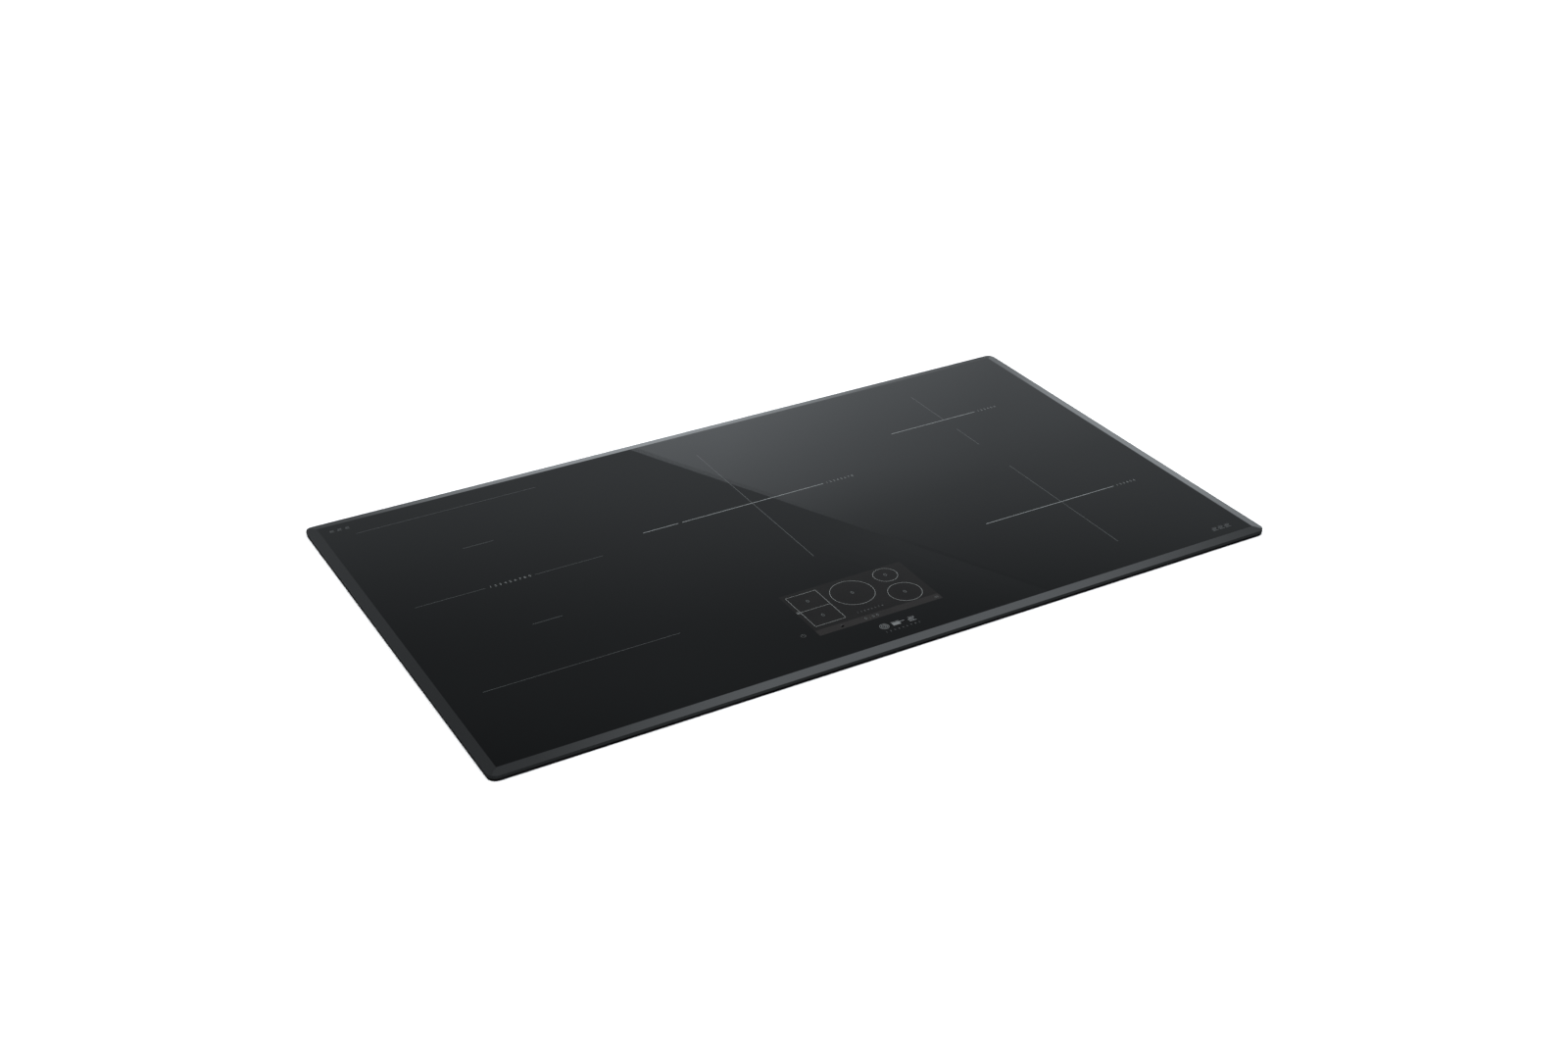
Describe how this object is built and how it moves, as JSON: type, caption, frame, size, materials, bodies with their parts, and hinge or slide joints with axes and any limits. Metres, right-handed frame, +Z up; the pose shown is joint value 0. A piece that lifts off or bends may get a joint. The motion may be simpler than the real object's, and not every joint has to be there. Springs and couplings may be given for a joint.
{
  "type": "induction cooktop",
  "caption": "Drop-in electric induction cooktop: facet-edged black glass top with printed cooking zones, touch screen, coils, blowers and burner box.",
  "frame": {"origin": "centre of the burner box's underside, below the centre of the glass", "axes": "+Z up out of the glass, -Y towards the cook, +X to the cook's right"},
  "size_m": [0.9334, 0.539, 0.11],
  "materials": {
    "black_glass": "polished, ground facet edges",
    "seal_foam": "matte closed-cell foam",
    "black_steel": "satin powder coat",
    "galvanised_steel": "zinc coated, faint spangle",
    "aluminium": "mill finish",
    "litz_copper": "enamelled copper litz wire",
    "dark_plastic": "moulded, fine grain",
    "light_plastic": "moulded",
    "silicone": "matte",
    "spring_steel": "bright drawn",
    "circuit_board": "solder mask",
    "screen": "satin",
    "cable_sleeve": "matte"
  },
  "bodies": {
    "cooktop": {"burner_box": "galvanised_steel", "centre_coil_spring": "spring_steel", "centre_deck": "aluminium", "centre_heat_sink": "aluminium", "centre_inverter_board": "circuit_board", "conduit_connector": "galvanised_steel", "control_board": "circuit_board", "display_bracket": "galvanised_steel", "display_module": "screen", "filter_board": "circuit_board", "glass_frame": "black_steel", "glass_top": "black_glass", "junction_cover": "galvanised_steel", "left_blower_casing": "dark_plastic", "left_blower_lid": "dark_plastic", "left_deck": "aluminium", "left_front_clamp_bracket": "galvanised_steel", "left_front_coil_spring": "spring_steel", "left_heat_sink": "aluminium", "left_inverter_board": "circuit_board", "left_rear_clamp_bracket": "galvanised_steel", "left_rear_coil_spring": "spring_steel", "mains_harness": "cable_sleeve", "ribbon_cable": "cable_sleeve", "right_blower_casing": "dark_plastic", "right_blower_lid": "dark_plastic", "right_deck": "aluminium", "right_front_clamp_bracket": "galvanised_steel", "right_front_coil_spring": "spring_steel", "right_heat_sink": "aluminium", "right_inverter_board": "circuit_board", "right_rear_clamp_bracket": "galvanised_steel", "right_rear_coil_spring": "spring_steel", "terminal_block": "light_plastic", "worktop_seal": "seal_foam"},
    "left_rear_coil": {"left_rear_coil_carrier": "dark_plastic", "left_rear_winding": "litz_copper", "left_rear_heat_sensor": "silicone"},
    "left_front_coil": {"left_front_coil_carrier": "dark_plastic", "left_front_winding": "litz_copper", "left_front_heat_sensor": "silicone"},
    "centre_coil": {"centre_coil_carrier": "dark_plastic", "centre_winding": "litz_copper", "centre_heat_sensor": "silicone"},
    "right_rear_coil": {"right_rear_coil_carrier": "dark_plastic", "right_rear_winding": "litz_copper", "right_rear_heat_sensor": "silicone"},
    "right_front_coil": {"right_front_coil_carrier": "dark_plastic", "right_front_winding": "litz_copper", "right_front_heat_sensor": "silicone"},
    "left_fan_wheel": {"left_impeller": "dark_plastic"},
    "right_fan_wheel": {"right_impeller": "dark_plastic"},
    "left_front_arm": {"left_front_clamp_arm": "galvanised_steel"},
    "left_front_screw": {"left_front_clamp_screw": "spring_steel"},
    "left_rear_arm": {"left_rear_clamp_arm": "galvanised_steel"},
    "left_rear_screw": {"left_rear_clamp_screw": "spring_steel"},
    "right_front_arm": {"right_front_clamp_arm": "galvanised_steel"},
    "right_front_screw": {"right_front_clamp_screw": "spring_steel"},
    "right_rear_arm": {"right_rear_clamp_arm": "galvanised_steel"},
    "right_rear_screw": {"right_rear_clamp_screw": "spring_steel"}
  },
  "joints": [
    {"name": "left_rear_coil_float", "type": "slide", "parent": "cooktop", "child": "left_rear_coil", "axis": [0, 0, 1], "range_m": [-0.004, 0], "stiffness_N_per_m": 3000, "springref_m": 0.007, "deforming": ["left_rear_coil_spring"]},
    {"name": "left_front_coil_float", "type": "slide", "parent": "cooktop", "child": "left_front_coil", "axis": [0, 0, 1], "range_m": [-0.004, 0], "stiffness_N_per_m": 3000, "springref_m": 0.007, "deforming": ["left_front_coil_spring"]},
    {"name": "centre_coil_float", "type": "slide", "parent": "cooktop", "child": "centre_coil", "axis": [0, 0, 1], "range_m": [-0.004, 0], "stiffness_N_per_m": 3000, "springref_m": 0.007, "deforming": ["centre_coil_spring"]},
    {"name": "right_rear_coil_float", "type": "slide", "parent": "cooktop", "child": "right_rear_coil", "axis": [0, 0, 1], "range_m": [-0.004, 0], "stiffness_N_per_m": 3000, "springref_m": 0.007, "deforming": ["right_rear_coil_spring"]},
    {"name": "right_front_coil_float", "type": "slide", "parent": "cooktop", "child": "right_front_coil", "axis": [0, 0, 1], "range_m": [-0.004, 0], "stiffness_N_per_m": 3000, "springref_m": 0.007, "deforming": ["right_front_coil_spring"]},
    {"name": "left_fan_spin", "type": "hinge", "parent": "cooktop", "child": "left_fan_wheel", "pos_m": [-0.1475, -0.155, 0.0225], "axis": [0, 0, 1], "continuous": true},
    {"name": "right_fan_spin", "type": "hinge", "parent": "cooktop", "child": "right_fan_wheel", "pos_m": [0.1475, -0.155, 0.0225], "axis": [0, 0, 1], "continuous": true},
    {"name": "left_front_screw_turn", "type": "hinge", "parent": "cooktop", "child": "left_front_screw", "pos_m": [-0.436, -0.12, 0.035], "axis": [0, 0, 1], "range_deg": [0, 6301]},
    {"name": "left_front_arm_travel", "type": "slide", "parent": "cooktop", "child": "left_front_arm", "axis": [0, 0, 1], "range_m": [0, 0.014]},
    {"name": "left_rear_screw_turn", "type": "hinge", "parent": "cooktop", "child": "left_rear_screw", "pos_m": [-0.436, 0.12, 0.035], "axis": [0, 0, 1], "range_deg": [0, 6301]},
    {"name": "left_rear_arm_travel", "type": "slide", "parent": "cooktop", "child": "left_rear_arm", "axis": [0, 0, 1], "range_m": [0, 0.014]},
    {"name": "right_front_screw_turn", "type": "hinge", "parent": "cooktop", "child": "right_front_screw", "pos_m": [0.436, -0.12, 0.035], "axis": [0, 0, 1], "range_deg": [0, 6301]},
    {"name": "right_front_arm_travel", "type": "slide", "parent": "cooktop", "child": "right_front_arm", "axis": [0, 0, 1], "range_m": [0, 0.014]},
    {"name": "right_rear_screw_turn", "type": "hinge", "parent": "cooktop", "child": "right_rear_screw", "pos_m": [0.436, 0.12, 0.035], "axis": [0, 0, 1], "range_deg": [0, 6301]},
    {"name": "right_rear_arm_travel", "type": "slide", "parent": "cooktop", "child": "right_rear_arm", "axis": [0, 0, 1], "range_m": [0, 0.014]}
  ],
  "couplings": [
    {"joint": "left_front_screw_turn", "follows": "left_front_arm_travel", "rad_per_m": 7854},
    {"joint": "left_rear_screw_turn", "follows": "left_rear_arm_travel", "rad_per_m": 7854},
    {"joint": "right_front_screw_turn", "follows": "right_front_arm_travel", "rad_per_m": 7854},
    {"joint": "right_rear_screw_turn", "follows": "right_rear_arm_travel", "rad_per_m": 7854}
  ]
}
